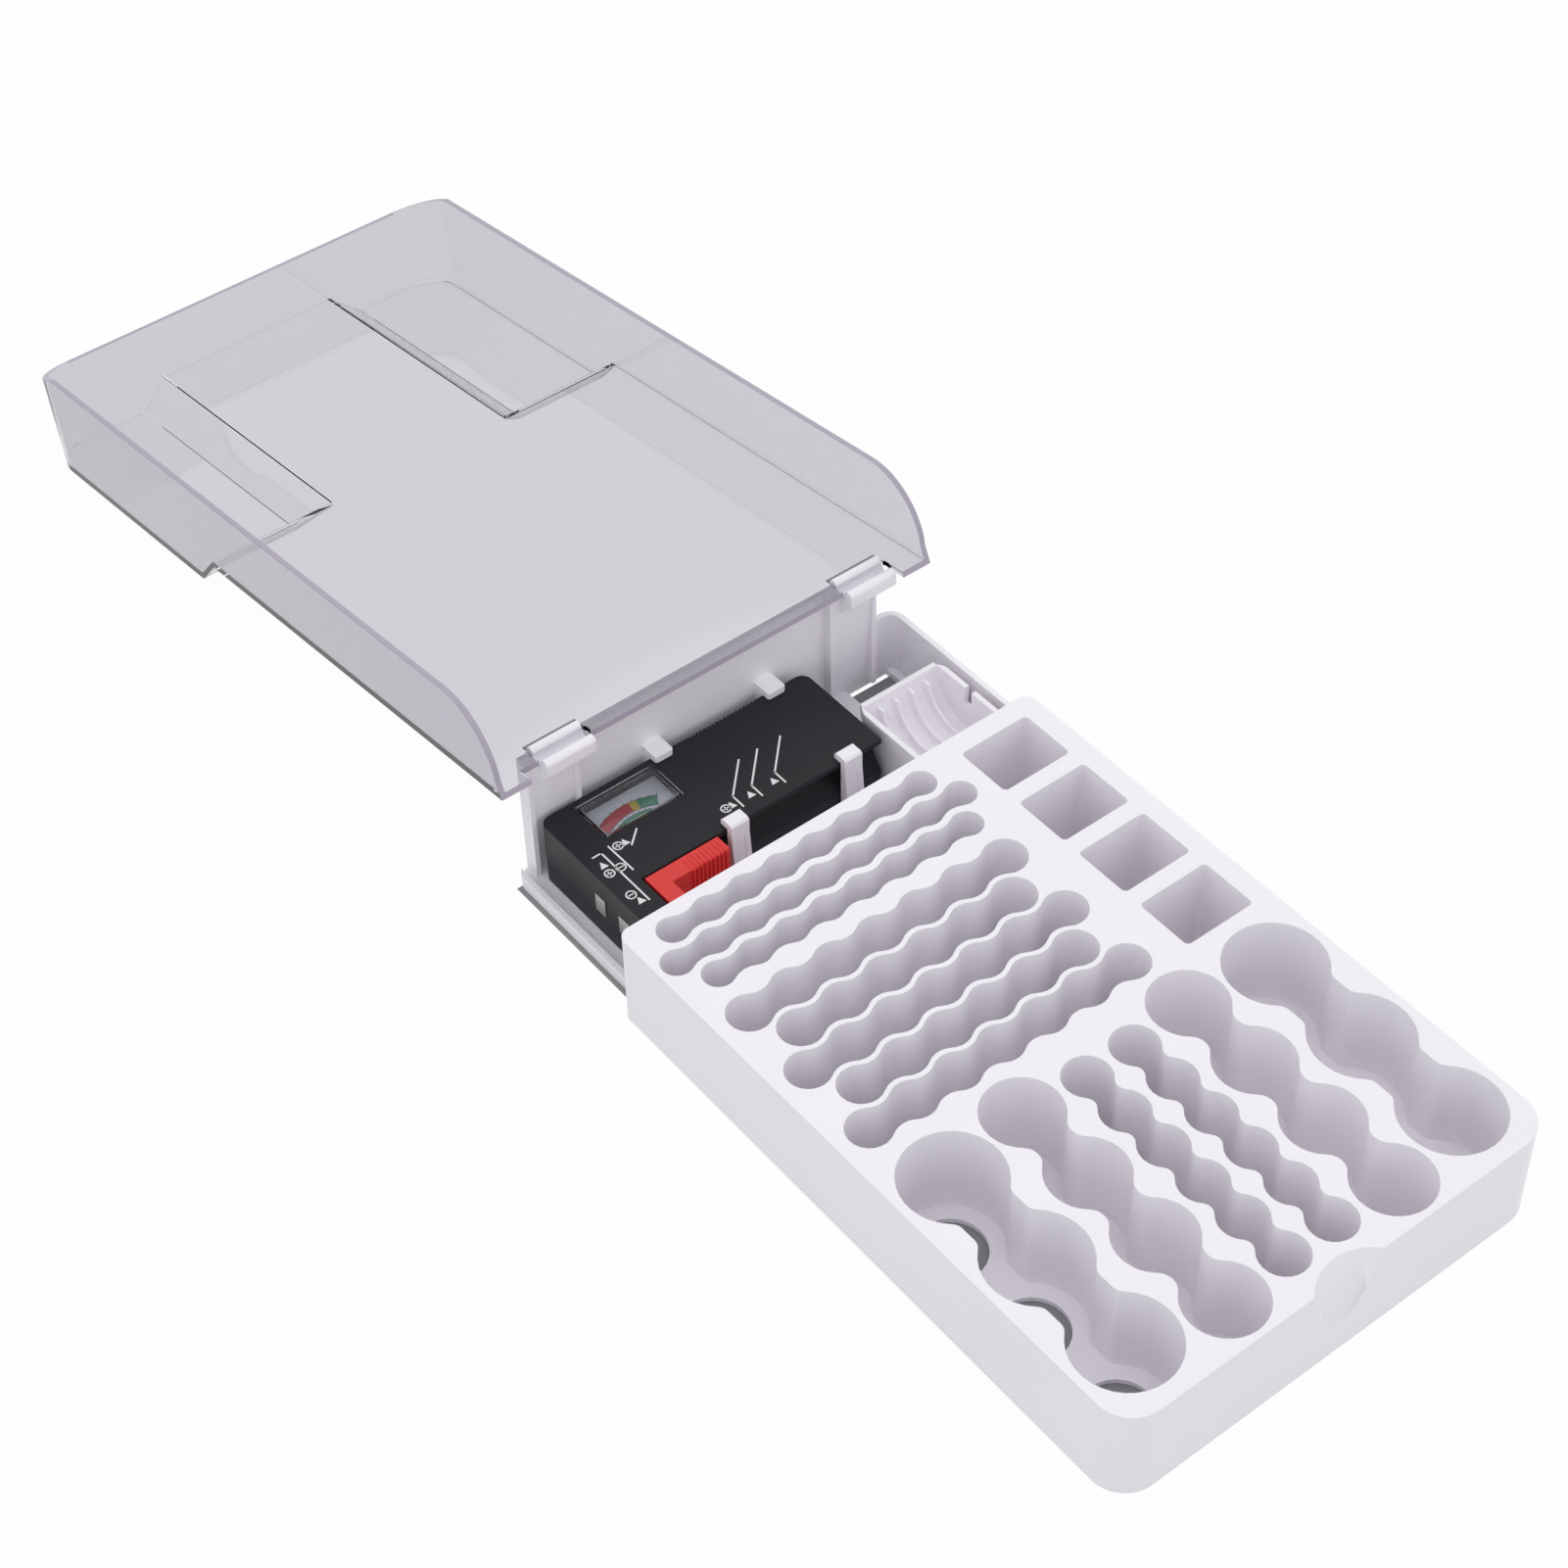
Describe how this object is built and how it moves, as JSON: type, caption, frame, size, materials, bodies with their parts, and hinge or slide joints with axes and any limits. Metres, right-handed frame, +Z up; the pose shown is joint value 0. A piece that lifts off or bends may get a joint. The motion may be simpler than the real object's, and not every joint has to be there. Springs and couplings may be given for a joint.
{
  "type": "battery storage case with tester",
  "caption": "White tray of scalloped battery wells with a rear bay for a slide-in cell tester and coin-cell box, under a clear hinged lid, shown lying open",
  "frame": {"origin": "centre of the case's footprint, on the table", "axes": "+X to the right across the wells, +Y to the rear where the lid is hinged, +Z up"},
  "size_m": [0.181, 0.6136, 0.0846],
  "materials": {
    "case_plastic": "white injection-moulded styrene, light gloss",
    "lid_plastic": "clear styrene, slightly grey, polished",
    "tester_plastic": "black ABS, fine satin",
    "window_plastic": "clear acrylic",
    "brass_part": "stamped brass",
    "iron_part": "plated soft iron",
    "magnet": "sintered magnet",
    "coil_aluminium": "aluminium former wound with enamelled wire",
    "needle": "thin aluminium pointer painted red",
    "dial_card": "printed card, pale bluish white",
    "slider_plastic": "red ABS, light gloss",
    "contact_metal": "nickel-plated spring steel",
    "board": "phenolic circuit board",
    "resistor_body": "lacquered resistor body",
    "screw_steel": "zinc-plated steel"
  },
  "bodies": {
    "root": {"battery_tray": "case_plastic", "tester_bay": "case_plastic", "tester_top_shell": "tester_plastic", "tester_base_shell": "tester_plastic", "meter_window": "window_plastic", "meter_frame": "brass_part", "meter_yoke": "iron_part", "meter_core": "magnet", "meter_dial": "dial_card", "fixed_contact": "contact_metal", "nine_volt_plus_contact": "contact_metal", "nine_volt_minus_contact": "contact_metal", "resistor_board": "board", "load_resistors": "resistor_body", "tester_screws": "screw_steel"},
    "lid": {"clear_lid": "lid_plastic"},
    "coin_box": {"coin_cell_box": "case_plastic"},
    "slider": {"slider_knob": "slider_plastic", "slider_contact": "contact_metal"},
    "needle": {"meter_needle": "needle", "moving_coil": "coil_aluminium"}
  },
  "joints": [
    {"name": "lid_hinge", "type": "hinge", "parent": "root", "child": "lid", "pos_m": [0, 0.1495, 0.0569], "axis": [-1, 0, 0], "range_deg": [-188.39, 0]},
    {"name": "coin_box_lift", "type": "slide", "parent": "root", "child": "coin_box", "axis": [0, 0, 1], "range_m": [0, 0.026]},
    {"name": "slider_slide", "type": "slide", "parent": "root", "child": "slider", "axis": [1, 0, 0], "range_m": [0, 0.0038], "stiffness_N_per_m": 120},
    {"name": "needle_swing", "type": "hinge", "parent": "root", "child": "needle", "pos_m": [-0.0432, 0.118, 0.022], "axis": [0, 0, -1], "range_deg": [0, 66], "stiffness_Nm_per_rad": 0.00001}
  ]
}
